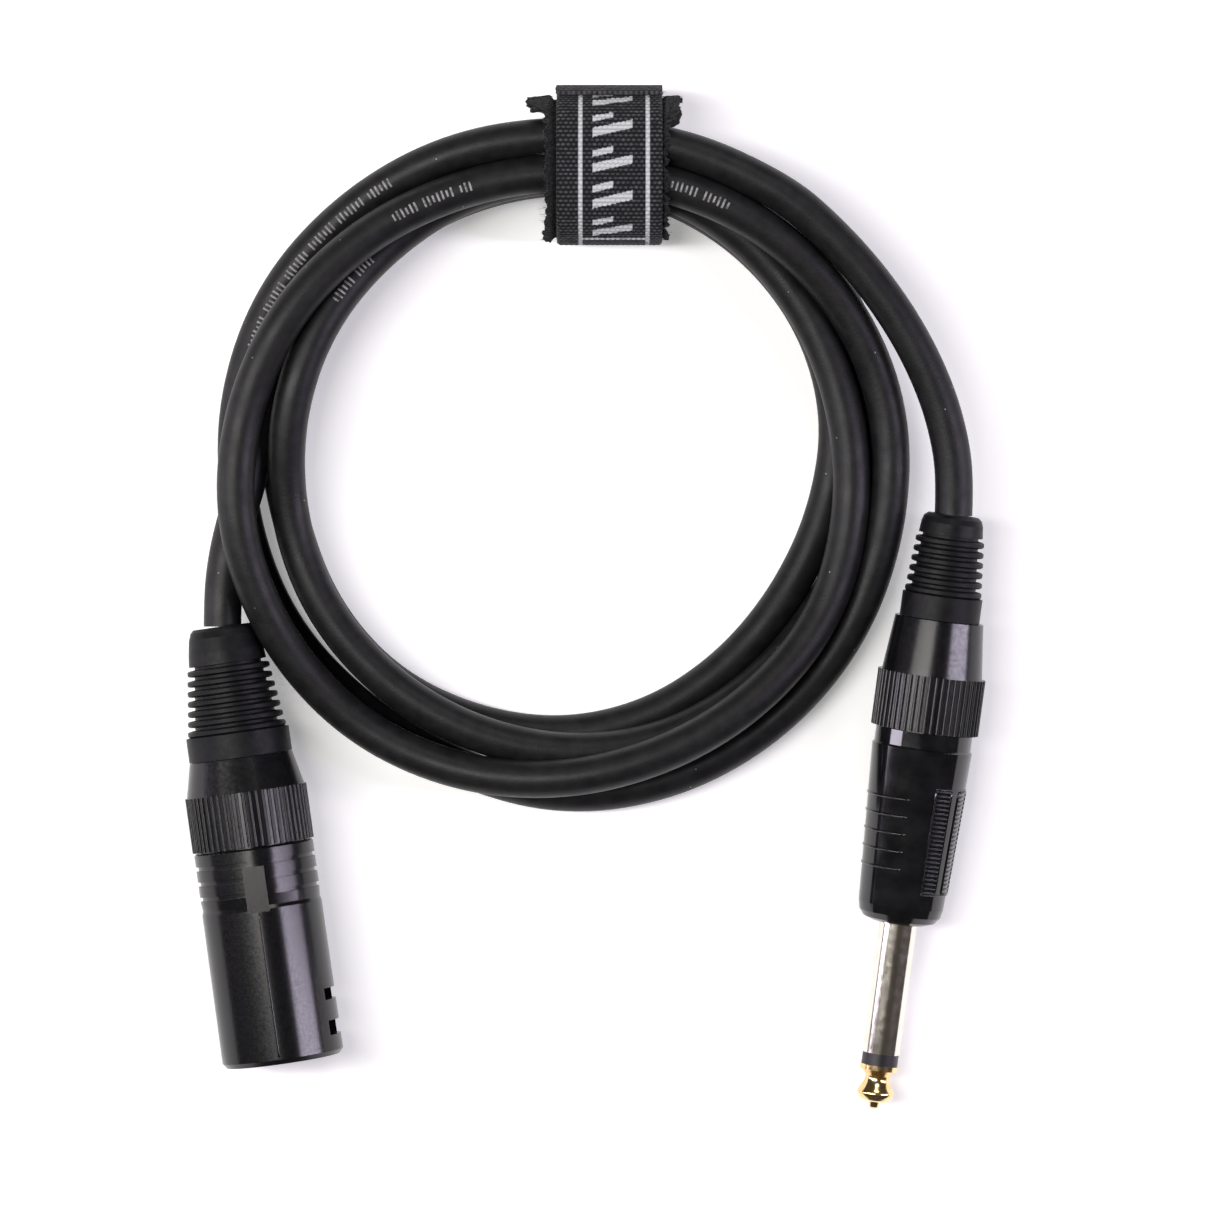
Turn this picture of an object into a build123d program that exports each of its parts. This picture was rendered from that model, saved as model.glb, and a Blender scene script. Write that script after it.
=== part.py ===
from build123d import *
import math
import os

# A microphone cable wound into a ring of loose turns and tied with a hook-and-loop strap. One end has
# a three-pin XLR plug, the other a quarter-inch mono jack plug, and both point the same way.
# Millimetres, +Z up from the surface it lies on, +Y towards the strap, +X towards the jack plug.
# The origin is under the middle of the box that the two plugs and the strap fill.

# Cable and coil
cable_diameter = 6.2
cable_radius = cable_diameter / 2
coil_centre = (-4.0, 21.8)
coil_outer_radius = 56.6
coil_hole_radius = 42.3
coil_hole_offset = 1.5
coil_height = 16.5
coil_lift_at_strap = 1.5

# XLR plug: distances run along its axis from the end of its boot
xlr_exit = Vector(-59.9, -4.6, 10.05)
xlr_lean = 8.0
xlr_boot_length = 21.6
xlr_boot_radii = (6.7, 8.2)
xlr_boot_ribs = 7
xlr_rib_depth = 1.3
xlr_cone_start = 21.7
xlr_knurl = (27.3, 36.3)
xlr_knurl_radius = 10.05
xlr_shell_start = 36.5
xlr_length = 72.0
xlr_shell_radius = 10.0
xlr_mouth_radius = 8.15
xlr_chamber_radius = 8.8
xlr_face = 56.0
xlr_pin_radius = 1.2
xlr_pin_neck_radius = 0.9
xlr_pin_circle = 4.1
xlr_pin_end = 70.0
xlr_pin_angles = (15, 165, 270)

# Jack plug: distances run the same way
jack_exit = Vector(60.2, 13.7, 11.15)
jack_lean = -7.5
jack_dip = 3.6
jack_boot_length = 17.2
jack_boot_radii = (5.6, 6.4)
jack_boot_ribs = 6
jack_rib_depth = 1.05
jack_cone_start = 17.3
jack_knurl = (26.4, 35.6)
jack_knurl_radius = 8.9
jack_barrel_start = 35.8
jack_barrel_end = 67.7
jack_chamber_radius = 7.2
jack_sleeve_radius = 3.175
jack_shank_radius = 3.4
jack_shank_end = 68.0
jack_sleeve_end = 89.6
jack_ring_end = 91.6
jack_length = 99.0

# Shared by both plugs
bore_clearance = 0.3
thread_depth = 0.4
thread_pitch = 1.5
knurl_rib_radius = 0.3

# Strap, wound round the bundle about an axis along X
strap_middle_x = 3.7
strap_band_width = 17.3
strap_loop_width = 19.0
strap_loop_size = (22.8, 20.3)
strap_middle_y = 70.7
strap_loop_thickness = 1.1
strap_band_thickness = 1.2
strap_band_lowest = 5.0
strap_flap_thickness = 0.9
strap_flap_heights = (3.5, 14.6)

os.makedirs("parts", exist_ok=True)


def plug_side(exit_point, lean, dip):
    """Plane through a plug's axis: x runs from its boot to its tip, z is up."""
    lean = math.radians(lean)
    dip = math.radians(dip)
    forward = Vector(math.sin(lean) * math.cos(dip), -math.cos(lean) * math.cos(dip), -math.sin(dip))
    sideways = Vector(0, 0, 1).cross(forward).normalized()
    return Plane(origin=exit_point, x_dir=forward, z_dir=forward.cross(sideways))


def station(side, distance):
    """Plane across a plug's axis: x is sideways, y is up, z is forward."""
    return Plane(origin=side.origin + side.x_dir * distance, x_dir=side.y_dir, z_dir=side.x_dir)


def turn(side, outline):
    """Revolve a closed outline of (distance, radius) points about a plug's axis."""
    with BuildSketch(side) as section:
        with BuildLine():
            Polyline(*outline, close=True)
        make_face()
    revolve(section.sketch, axis=Axis(side.origin, side.x_dir))


def ribbed(start, end, count, radii, depth):
    """Outline points of rubber ribs: each is a groove and then the rib that follows it."""
    pitch = (end - start) / count
    points = []
    for number in range(count):
        groove = start + number * pitch
        radius = radii[0] + (radii[1] - radii[0]) * (number + 0.5) / count
        points += [(groove + 0.04 * pitch, radius - depth), (groove + 0.30 * pitch, radius - depth)]
        points += [(groove + 0.38 * pitch, radius - 0.25), (groove + 0.50 * pitch, radius)]
        points += [(groove + 0.84 * pitch, radius), (groove + 0.96 * pitch, radius - 0.25)]
    return points


def threaded(start, end, radius):
    """Outline points of a coarse thread, simplified to rings, from start to end."""
    points = [(start, radius)]
    count = int((end - start) / thread_pitch)
    for number in range(count):
        groove = start + (number + 0.3) * thread_pitch
        points += [(groove, radius), (groove + 0.3, radius - thread_depth)]
        points += [(groove + 0.7, radius - thread_depth), (groove + 1.0, radius)]
    return points + [(end, radius)]


def knurl(side, start, end, radius, count):
    """Add a ring of fine lengthwise ribs whose crests reach the radius."""
    with BuildSketch(station(side, start)) as section:
        with PolarLocations(radius - knurl_rib_radius, count):
            Circle(knurl_rib_radius)
    extrude(section.sketch, amount=end - start)


def slots(side, start, end, reach, width):
    """Cut two crossed slots, so that a collet has four fingers."""
    with BuildSketch(station(side, start)) as section:
        Rectangle(2 * reach, width)
        Rectangle(width, 2 * reach)
    extrude(section.sketch, amount=end - start, mode=Mode.SUBTRACT)


def across(angle, radius):
    """Point on a station plane, by angle and distance from the axis."""
    return (radius * math.cos(math.radians(angle)), radius * math.sin(math.radians(angle)))


def wire(side, start, start_at, end, end_at, radius):
    """Straight insulated core between two points inside a plug."""
    first = station(side, start).from_local_coords(Vector(*start_at, 0))
    last = station(side, end).from_local_coords(Vector(*end_at, 0))
    with BuildSketch(Plane(origin=first, z_dir=last - first)) as section:
        Circle(radius)
    extrude(section.sketch, amount=(last - first).length)


def save(shape, name):
    shape.label = name
    export_step(shape, f"parts/{name}.step")


# ---------------------------------------------------------------- XLR plug

xlr = plug_side(xlr_exit, xlr_lean, 0)
boot_bore = cable_radius + bore_clearance

# Soft boot: a rounded cap, ribs that widen towards the plug, and a plain ring at its base
with BuildPart() as xlr_boot:
    turn(xlr, [(0, boot_bore), (0, 4.9), (0.5, 5.4), (1.6, 5.8), (4.0, 6.2), (6.0, 6.4)]
         + ribbed(6.0, 17.5, xlr_boot_ribs, xlr_boot_radii, xlr_rib_depth)
         + [(17.6, 8.5), (xlr_boot_length, 8.5), (xlr_boot_length, boot_bore)])
save(xlr_boot.part, "xlr_boot")

# Nut: glossy cone, knurled grip and the threaded spigot that screws into the shell
with BuildPart() as xlr_nut:
    turn(xlr, [(xlr_cone_start, 3.6), (xlr_cone_start, 8.5), (xlr_knurl[0], 9.75), (xlr_knurl[1], 9.75)]
         + threaded(xlr_knurl[1], 43.0, xlr_chamber_radius - bore_clearance)
         + [(43.0, 6.1), (30.0, 6.1), (24.2, 3.6)])
    knurl(xlr, xlr_knurl[0], xlr_knurl[1], xlr_knurl_radius, 56)
save(xlr_nut.part, "xlr_nut")

# Collet that the nut's cone squeezes on to the cable, with the ring that backs the insert
with BuildPart() as xlr_chuck:
    turn(xlr, [(24.6, 3.15), (24.6, 3.4), (29.6, 5.6), (43.4, 5.6), (43.4, 8.4), (46.9, 8.4),
               (46.9, 5.5), (37.0, 5.0), (37.0, 3.15)])
    slots(xlr, 24.0, 35.0, 7.0, 1.0)
save(xlr_chuck.part, "xlr_chuck")

# Shell: ring bands behind, plain barrel in front, a flat key strip on top and two slots for a latch
band_ends = (38.6, 41.1, 43.6)
with BuildPart() as xlr_shell:
    outline = [(xlr_shell_start, xlr_chamber_radius), (xlr_shell_start, 9.6), (xlr_shell_start + 0.3, 9.85)]
    for band_end in band_ends:
        outline += [(band_end, 9.85), (band_end, 9.45), (band_end + 0.7, 9.45), (band_end + 0.7, 9.85)]
    outline += [(46.0, 9.7), (46.6, 9.9), (xlr_length - 0.8, xlr_shell_radius), (xlr_length, 9.4)]
    outline += [(xlr_length, 8.6), (xlr_length - 0.5, xlr_mouth_radius), (xlr_face + 0.2, xlr_mouth_radius)]
    outline += [(xlr_face + 0.2, xlr_chamber_radius)]
    turn(xlr, outline)
    with BuildSketch(station(xlr, 39.5)):
        with Locations((0, 9.45)):
            Rectangle(3.6, 0.9)
    extrude(amount=7.5)
    with BuildSketch(station(xlr, xlr_face + 1.0)):
        with Locations((0, -7.75)):
            Rectangle(2.4, 1.1)
    extrude(amount=xlr_length - xlr_face - 2.0)
    for latch_start, latch_length in ((61.0, 1.9), (66.3, 2.4)):
        with BuildSketch(station(xlr, latch_start)):
            with Locations((9.2, 0.6)):
                Rectangle(3.0, 9.2)
        extrude(amount=latch_length, mode=Mode.SUBTRACT)
save(xlr_shell.part, "xlr_shell")

# Insert: the moulded disc that holds the three pins, with a slot for the earth spring
with BuildPart() as xlr_insert:
    turn(xlr, [(47.0, 0), (47.0, 8.0), (47.5, 8.5), (xlr_face - 0.4, 8.5), (xlr_face, 8.1), (xlr_face, 0)])
    with BuildSketch(station(xlr, 46.0)):
        for angle in xlr_pin_angles:
            with Locations(across(angle, xlr_pin_circle)):
                Circle(xlr_pin_neck_radius + 0.05)
        with Locations((0, 8.5)):
            Rectangle(2.8, 1.1)
    extrude(amount=12, mode=Mode.SUBTRACT)
save(xlr_insert.part, "xlr_insert")

for number, angle in enumerate(xlr_pin_angles, start=1):
    with BuildPart() as xlr_pin:
        with BuildSketch(station(xlr, xlr_face + 0.4)):
            with Locations(across(angle, xlr_pin_circle)):
                Circle(xlr_pin_radius)
        extrude(amount=xlr_pin_end - xlr_face - 0.4)
        fillet(xlr_pin.faces().sort_by(Axis(xlr.origin, xlr.x_dir))[-1].edges(), 0.9)
        with BuildSketch(station(xlr, 45.0)):
            with Locations(across(angle, xlr_pin_circle)):
                Circle(xlr_pin_neck_radius)
        extrude(amount=xlr_face + 0.4 - 45.0)
        with BuildSketch(station(xlr, 45.0)):
            with Locations(across(angle, xlr_pin_circle)):
                Circle(xlr_pin_radius)
        extrude(amount=1.9)
    save(xlr_pin.part, f"xlr_pin_{number}")
    with BuildPart() as xlr_core:
        wire(xlr, 37.4, across(angle, 1.4), 44.7, across(angle, xlr_pin_circle), 0.7)
    save(xlr_core.part, f"xlr_core_{number}")

with BuildPart() as xlr_earth_spring:
    with BuildSketch(station(xlr, 48.5)):
        with Locations((0, 8.2)):
            Rectangle(2.4, 0.4)
    extrude(amount=6.5)
save(xlr_earth_spring.part, "xlr_earth_spring")

# The cable's own end, from the mouth of the boot to where its jacket is stripped
with BuildPart() as xlr_jacket_end:
    turn(xlr, [(0, 0), (0, cable_radius), (37.0, cable_radius), (37.0, 0)])
save(xlr_jacket_end.part, "xlr_jacket_end")

# --------------------------------------------------------------- Jack plug

jack = plug_side(jack_exit, jack_lean, jack_dip)

with BuildPart() as jack_boot:
    turn(jack, [(0, boot_bore), (0, 4.2), (0.5, 4.8), (1.4, 5.1), (3.3, 5.3)]
         + ribbed(3.3, 13.2, jack_boot_ribs, jack_boot_radii, jack_rib_depth)
         + [(13.3, 6.6), (jack_boot_length, 6.6), (jack_boot_length, boot_bore)])
save(jack_boot.part, "jack_boot")

with BuildPart() as jack_nut:
    turn(jack, [(jack_cone_start, 3.6), (jack_cone_start, 7.3), (jack_knurl[0], 8.3), (jack_knurl[0], 8.6),
                (jack_knurl[1], 8.6)]
         + threaded(jack_knurl[1], 42.5, jack_chamber_radius - bore_clearance)
         + [(42.5, 5.0), (25.0, 5.0), (19.8, 3.6)])
    knurl(jack, jack_knurl[0], jack_knurl[1], jack_knurl_radius, 50)
save(jack_nut.part, "jack_nut")

with BuildPart() as jack_chuck:
    turn(jack, [(20.2, 3.15), (20.2, 3.5), (24.6, 4.6), (43.0, 4.6), (43.0, 6.4), (45.0, 6.4),
                (45.0, 4.0), (32.0, 4.0), (32.0, 3.15)])
    slots(jack, 20.0, 30.0, 5.5, 0.9)
save(jack_chuck.part, "jack_chuck")

# Barrel: a plain neck behind, a long taper with a rounded front, and finger ribs on its right-hand side
with BuildPart() as jack_barrel:
    turn(jack, [(jack_barrel_start, jack_chamber_radius), (jack_barrel_start, 8.0), (38.3, 8.0), (38.6, 8.3),
                (45.0, 8.0), (52.0, 7.65), (64.8, 7.05), (66.2, 6.75), (67.2, 6.0), (jack_barrel_end, 4.8),
                (jack_barrel_end, 3.5), (63.5, 3.5), (63.5, 6.2), (52.0, 6.6), (50.0, jack_chamber_radius)])
save(jack_barrel.part, "jack_barrel")

with BuildPart() as jack_sleeve:
    turn(jack, [(60.0, 1.95), (60.0, jack_shank_radius), (jack_shank_end, jack_shank_radius),
                (jack_shank_end, jack_sleeve_radius), (jack_sleeve_end, jack_sleeve_radius),
                (jack_sleeve_end, 1.95)])
save(jack_sleeve.part, "jack_sleeve")

# Collar on the sleeve, which stops it behind the barrel's front wall
with BuildPart() as jack_collar:
    turn(jack, [(60.0, jack_shank_radius), (60.0, 5.8), (63.2, 5.8), (63.2, jack_shank_radius)])
save(jack_collar.part, "jack_collar")

# Insulation: a flanged tube inside the sleeve, and the ring that shows between sleeve and tip
with BuildPart() as jack_insulating_tube:
    turn(jack, [(58.0, 1.05), (58.0, 4.4), (59.9, 4.4), (59.9, 1.9), (jack_sleeve_end, 1.9),
                (jack_sleeve_end, 1.05)])
save(jack_insulating_tube.part, "jack_insulating_tube")

with BuildPart() as jack_insulating_ring:
    turn(jack, [(jack_sleeve_end, 1.05), (jack_sleeve_end, 3.0), (jack_ring_end, 3.0), (jack_ring_end, 1.05)])
save(jack_insulating_ring.part, "jack_insulating_ring")

with BuildPart() as jack_centre_rod:
    turn(jack, [(54.0, 0), (54.0, 1.0), (jack_ring_end, 1.0), (jack_ring_end, 0)])
save(jack_centre_rod.part, "jack_centre_rod")

# Tip: a collar, a waist for the socket's spring, and the ball
with BuildPart() as jack_tip:
    with BuildSketch(jack):
        with BuildLine():
            Polyline((jack_ring_end, 0), (jack_ring_end, 3.12), (92.4, 3.12), (92.9, 2.55), (93.4, 2.1))
            Spline((93.4, 2.1), (94.3, 2.15), (95.6, 2.85), (96.4, 3.1), (97.2, 2.75), (97.75, 1.5),
                   tangents=((1, -0.2), (0.1, -1)))
            Polyline((97.75, 1.5), (97.8, 0.95), (98.7, 0.8), (jack_length, 0.4), (jack_length, 0))
            Line((jack_length, 0), (jack_ring_end, 0))
        make_face()
    revolve(axis=Axis(jack.origin, jack.x_dir))
save(jack_tip.part, "jack_tip")

with BuildPart() as jack_tip_lug:
    turn(jack, [(56.8, 1.05), (56.8, 2.6), (57.7, 2.6), (57.7, 1.05)])
    with BuildSketch(station(jack, 51.0)):
        with Locations((0, 2.35)):
            Rectangle(2.2, 0.6)
    extrude(amount=6.2)
save(jack_tip_lug.part, "jack_tip_lug")

# Earth clamp: a strip back from the sleeve's collar to a half ring round the cable's end
with BuildPart() as jack_earth_clamp:
    with BuildSketch(station(jack, 46.0)):
        with Locations((0, -4.9)):
            Rectangle(3.6, 0.7)
    extrude(amount=13.9)
    with BuildSketch(station(jack, 46.0)):
        Circle(4.0)
        Circle(cable_radius + 0.05, mode=Mode.SUBTRACT)
        with Locations((0, 3.0)):
            Rectangle(9.0, 6.0, mode=Mode.SUBTRACT)
        with Locations((0, -4.3)):
            Rectangle(3.6, 1.0)
    extrude(amount=2.8)
save(jack_earth_clamp.part, "jack_earth_clamp")

with BuildPart() as jack_core:
    wire(jack, 49.4, (0, 1.2), 54.5, (0, 1.3), 0.65)
save(jack_core.part, "jack_core")

with BuildPart() as jack_drain:
    wire(jack, 49.3, (0, -1.6), 54.0, (0, -3.9), 0.5)
save(jack_drain.part, "jack_drain")

with BuildPart() as jack_jacket_end:
    turn(jack, [(0, 0), (0, cable_radius), (49.0, cable_radius), (49.0, 0)])
save(jack_jacket_end.part, "jack_jacket_end")

# ------------------------------------------------------------------- Strap


def strap_outline(grow):
    """Outline of the wound strap, seen along X: round over the top and flatter where it rests."""
    half_width = strap_loop_size[0] / 2 + grow
    height = strap_loop_size[1] + grow
    with BuildLine() as outline:
        FilletPolyline((0, -grow), (half_width, -grow), (half_width, height), (0, height),
                       radius=[5.0 + grow, 9.0 + grow])
        mirror(about=Plane.YZ)
    make_face(outline.edges())


strap_face = Plane(origin=(strap_middle_x, strap_middle_y, 0), x_dir=(0, 1, 0), z_dir=(1, 0, 0))

with BuildPart() as strap_loop:
    with BuildSketch(strap_face):
        strap_outline(0)
    extrude(amount=strap_loop_width / 2, both=True)
    with BuildSketch(strap_face):
        strap_outline(-strap_loop_thickness)
    extrude(amount=strap_loop_width / 2, both=True, mode=Mode.SUBTRACT)
save(strap_loop.part, "strap_loop")

with BuildPart() as strap_band:
    with BuildSketch(strap_face):
        strap_outline(strap_band_thickness)
    extrude(amount=strap_band_width / 2, both=True)
    with BuildSketch(strap_face):
        strap_outline(0)
        with Locations((0, strap_band_lowest - 10)):
            Rectangle(40, 20)
    extrude(amount=strap_band_width, both=True, mode=Mode.SUBTRACT)
save(strap_band.part, "strap_band")

# Free end of the strap, hanging on the outer side from a fold line near the top
flap_inner_face = strap_middle_y + strap_loop_size[0] / 2 + strap_band_thickness + 0.25
flap_middle = (flap_inner_face + strap_flap_thickness / 2, sum(strap_flap_heights) / 2)
with BuildPart() as strap_flap:
    with BuildSketch(Plane.YZ.offset(strap_middle_x)):
        with Locations(flap_middle):
            Rectangle(strap_flap_thickness, strap_flap_heights[1] - strap_flap_heights[0])
    extrude(amount=strap_band_width / 2, both=True)
    fillet(strap_flap.edges().filter_by(Axis.Y).group_by(Axis.Z)[0], 3.0)
save(strap_flap.part, "strap_flap")

# ------------------------------------------------------------------- Cable

# Body of the coil: a ring, narrower under the strap, that stands a little higher where the strap passes
with BuildPart() as cable_coil:
    with BuildSketch():
        with Locations(coil_centre):
            Circle(coil_outer_radius)
        with Locations((coil_centre[0], coil_centre[1] + coil_hole_offset)):
            Circle(coil_hole_radius, mode=Mode.SUBTRACT)
    extrude(amount=coil_height)
    fillet(cable_coil.edges().filter_by(GeomType.CIRCLE), 5.5)
    with BuildSketch():
        with Locations((strap_middle_x, strap_middle_y)):
            Rectangle(strap_loop_width + 1.5, 30)
    extrude(amount=coil_lift_at_strap, mode=Mode.SUBTRACT)
save(cable_coil.part, "cable_coil")

# Loose ends of the cable, from each boot to the coil: these points are the cable's route there
xlr_tail_route = [
    (xlr_exit.X, xlr_exit.Y, xlr_exit.Z),
    (-59.9, 0.6, 10.1),
    (-59.2, 6.8, 10.0),
    (-57.7, 13.2, 9.8),
    (-55.6, 19.8, 9.5),
]
jack_tail_route = [
    (jack_exit.X, jack_exit.Y, jack_exit.Z),
    (60.4, 19.4, 11.6),
    (59.6, 26.0, 12.2),
    (57.3, 34.0, 12.9),
    (53.0, 43.0, 13.8),
    (46.9, 52.0, 14.6),
    (39.4, 60.2, 15.4),
    (31.6, 66.8, 16.2),
]


def cable_run(name, route):
    """Tube along straight runs joined by the largest tangent arcs that the runs allow."""
    points = [Vector(*point) for point in route]
    radii = []
    for before, corner, after in zip(points, points[1:], points[2:]):
        turn_angle = (corner - before).get_angle(after - corner)
        shorter = min((corner - before).length, (after - corner).length)
        radii.append(0.45 * shorter / math.tan(math.radians(turn_angle / 2)))
    with BuildPart() as run:
        with BuildLine() as path:
            FilletPolyline(*points, radius=radii)
        with BuildSketch(Plane(origin=points[0], z_dir=points[1] - points[0])):
            Circle(cable_radius)
        sweep()
    length = sum(edge.length for edge in path.edges())
    expected = math.pi * cable_radius ** 2 * length
    print(name, "radii", [round(radius, 1) for radius in radii], "length", round(length, 1),
          "volume ratio", round(run.part.volume / expected, 4))
    save(run.part, name)


cable_run("cable_tail_xlr", xlr_tail_route)
cable_run("cable_tail_jack", jack_tail_route)
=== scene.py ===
# A coiled microphone cable: loose turns of black cable tied with a hook-and-loop strap, a male XLR plug on
# one end and a quarter-inch jack plug on the other. Metres, +Z up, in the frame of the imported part.
import math
import random

import bpy
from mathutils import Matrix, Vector, noise as noise_field


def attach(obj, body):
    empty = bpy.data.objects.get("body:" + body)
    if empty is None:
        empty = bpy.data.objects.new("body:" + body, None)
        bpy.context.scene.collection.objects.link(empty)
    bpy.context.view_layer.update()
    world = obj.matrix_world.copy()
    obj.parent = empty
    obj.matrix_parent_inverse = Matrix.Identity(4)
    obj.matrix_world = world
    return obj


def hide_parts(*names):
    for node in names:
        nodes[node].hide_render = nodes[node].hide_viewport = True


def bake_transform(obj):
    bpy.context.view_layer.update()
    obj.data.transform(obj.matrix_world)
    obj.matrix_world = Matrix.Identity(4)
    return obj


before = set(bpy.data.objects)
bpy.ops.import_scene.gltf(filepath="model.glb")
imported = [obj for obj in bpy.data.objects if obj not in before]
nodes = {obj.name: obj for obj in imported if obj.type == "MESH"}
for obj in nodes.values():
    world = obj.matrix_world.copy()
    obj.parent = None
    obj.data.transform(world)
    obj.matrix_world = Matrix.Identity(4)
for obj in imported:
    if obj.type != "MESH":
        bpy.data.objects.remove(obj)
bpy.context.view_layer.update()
bpy.ops.object.select_all(action="DESELECT")

# ---------------------------------------------------------------- Camera, floor and lights
# The cable lies on a plain white table and is looked at from straight above, about a metre up.
bpy.ops.object.camera_add(location=(0.0033, -0.0014, 1.008), rotation=(0, 0, 0))
camera = bpy.context.object
camera.name = "camera"
camera.data.sensor_width = 36
camera.data.lens = 180
camera.data.clip_start = 0.05
bpy.context.scene.camera = camera

bpy.ops.mesh.primitive_plane_add(size=6, location=(0, 0, 0))
floor = bpy.context.object
floor.name = "floor"
floor_paint = bpy.data.materials.new("floor_paint")
floor_paint.use_nodes = True
floor_shader = floor_paint.node_tree.nodes["Principled BSDF"]
floor_shader.inputs["Base Color"].default_value = (0.92, 0.92, 0.92, 1)
floor_shader.inputs["Roughness"].default_value = 0.7
floor_shader.inputs["Specular IOR Level"].default_value = 0.2
floor_shader.inputs["Emission Color"].default_value = (1, 1, 1, 1)
floor_shader.inputs["Emission Strength"].default_value = 0.30
floor.data.materials.append(floor_paint)

world = bpy.data.worlds.new("studio")
bpy.context.scene.world = world
world.use_nodes = True
world.node_tree.nodes["Background"].inputs["Color"].default_value = (0.60, 0.52, 0.46, 1)
world.node_tree.nodes["Background"].inputs["Strength"].default_value = 0.10
bpy.context.scene.view_settings.view_transform = "Standard"


def softbox(name, location, size, power, colour):
    """A rectangular softbox that faces the cable."""
    facing = (Vector((0, 0, 0)) - Vector(location)).to_track_quat("-Z", "Y").to_euler()
    bpy.ops.object.light_add(type="AREA", location=location, rotation=facing)
    lamp = bpy.context.object
    lamp.name = name
    lamp.data.shape = "RECTANGLE"
    lamp.data.size, lamp.data.size_y = size
    lamp.data.energy = power
    lamp.data.color = colour
    bpy.ops.object.select_all(action="DESELECT")


softbox("softbox_main", location=(-0.52, 0.05, 0.97), size=(0.17, 0.9), power=10.5, colour=(1.0, 0.98, 0.95))
softbox("softbox_left", location=(-1.05, 0.0, 0.32), size=(0.10, 0.8), power=3.2, colour=(0.92, 0.84, 1.0))
softbox("softbox_right", location=(0.95, -0.02, 0.6), size=(0.12, 0.9), power=7.5, colour=(0.88, 0.81, 1.0))
softbox("softbox_top", location=(0.25, 0.95, 1.1), size=(0.5, 0.3), power=3.0, colour=(1.0, 1.0, 1.0))

# ---------------------------------------------------------------- Cable
# Flexible cable with a matt black PVC jacket, extruded in one length. It comes out of the XLR plug's boot,
# makes four and a half loose turns that lie beside and on each other, and goes into the jack plug's boot.
cable_diameter = 0.0062
xlr_exit = (-0.0599, -0.0046, 0.01005)
xlr_tail = [xlr_exit, (-0.0599, 0.0006, 0.0101), (-0.0592, 0.0068, 0.0100), (-0.0577, 0.0132, 0.0098),
            (-0.0556, 0.0198, 0.0095)]
jack_exit = (0.0602, 0.0137, 0.01115)
jack_tail = [(0.0316, 0.0668, 0.0162), (0.0394, 0.0602, 0.0154), (0.0469, 0.0520, 0.0146),
             (0.0530, 0.0430, 0.0138), (0.0573, 0.0340, 0.0129), (0.0596, 0.0260, 0.0122),
             (0.0604, 0.0194, 0.0116), jack_exit]
coil_centre = (-0.0040, 0.0218)
# How far each turn lies from the coil's centre and how high, every 20 degrees clockwise from the left side
first_angle = 280
angle_step = 20
spline_shrink = 0.985
turn_radii = [
    [49.4, 47.4, 47.1, 47.4, 47.8, 48.1, 47.9, 47.4, 46.2,
     43.7, 42.3, 42.4, 43.4, 44.2, 44.6, 45.5, 45.6, 45.6],
    [48.1, 50.7, 53.2, 53.7, 53.9, 54.0, 54.0, 53.7, 52.9,
     50.2, 48.4, 48.0, 47.9, 46.9, 46.0, 45.6, 45.6, 45.4],
    [45.3, 45.7, 46.1, 47.3, 47.8, 48.4, 47.9, 47.3, 47.1,
     47.9, 49.3, 49.4, 49.9, 51.2, 52.9, 54.2, 54.3, 54.0],
    [52.5, 50.8, 49.0, 47.7, 47.6, 48.8, 51.0, 53.0, 54.2,
     53.9, 54.4, 54.5, 54.5, 54.1, 52.2, 51.9, 53.0, 53.5],
    [54.5, 54.9, 54.3, 54.0, 53.5, 55.0],
]
turn_heights = [
    [9.2, 8.6, 5.0, 4.0, 4.3, 4.3, 3.2, 3.1, 3.1,
     3.1, 3.1, 3.1, 3.1, 3.1, 3.1, 3.1, 3.1, 3.1],
    [3.1, 3.1, 3.1, 4.0, 4.3, 4.3, 3.1, 3.1, 3.1,
     3.1, 3.1, 6.1, 7.5, 8.8, 9.2, 9.2, 9.3, 9.7],
    [14.2, 14.8, 11.3, 10.2, 10.2, 10.2, 9.3, 9.3, 9.3,
     9.2, 9.3, 12.1, 13.5, 13.3, 10.3, 9.3, 13.0, 16.4],
    [16.4, 18.4, 16.8, 16.1, 16.1, 16.1, 14.8, 12.0, 9.2,
     8.6, 5.2, 3.1, 3.1, 3.1, 3.1, 3.1, 3.1, 3.1],
    [3.8, 8.0, 11.0, 14.5, 16.0, 16.3],
]
route = list(xlr_tail)
for radii, heights in zip(turn_radii, turn_heights):
    for step, (radius, height) in enumerate(zip(radii, heights)):
        angle = math.radians(first_angle + angle_step * step)
        reach = radius / 1000 / spline_shrink
        route.append((coil_centre[0] + reach * math.sin(angle), coil_centre[1] + reach * math.cos(angle),
                      height / 1000))
route += jack_tail

cable_curve = bpy.data.curves.new("cable_line", "CURVE")
cable_curve.dimensions = "3D"
cable_spline = cable_curve.splines.new("NURBS")
cable_spline.points.add(len(route) - 1)
for spline_point, place in zip(cable_spline.points, route):
    spline_point.co = (*place, 1)
cable_spline.order_u = 3
cable_spline.use_endpoint_u = True
cable_curve.resolution_u = 10
cable_line = cable_curve.copy()
cable_curve.bevel_depth = cable_diameter / 2
cable_curve.bevel_resolution = 10
cable = bpy.data.objects.new("cable_jacket", cable_curve)
bpy.context.scene.collection.objects.link(cable)


def new_material(name, colour, roughness, specular=0.5, metallic=0.0):
    """A material with its shader's even values set, and its nodes to build on."""
    material = bpy.data.materials.new(name)
    material.use_nodes = True
    shader = material.node_tree.nodes["Principled BSDF"]
    shader.inputs["Base Color"].default_value = (*colour, 1)
    shader.inputs["Roughness"].default_value = roughness
    shader.inputs["Specular IOR Level"].default_value = specular
    shader.inputs["Metallic"].default_value = metallic
    return material, material.node_tree, shader


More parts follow.
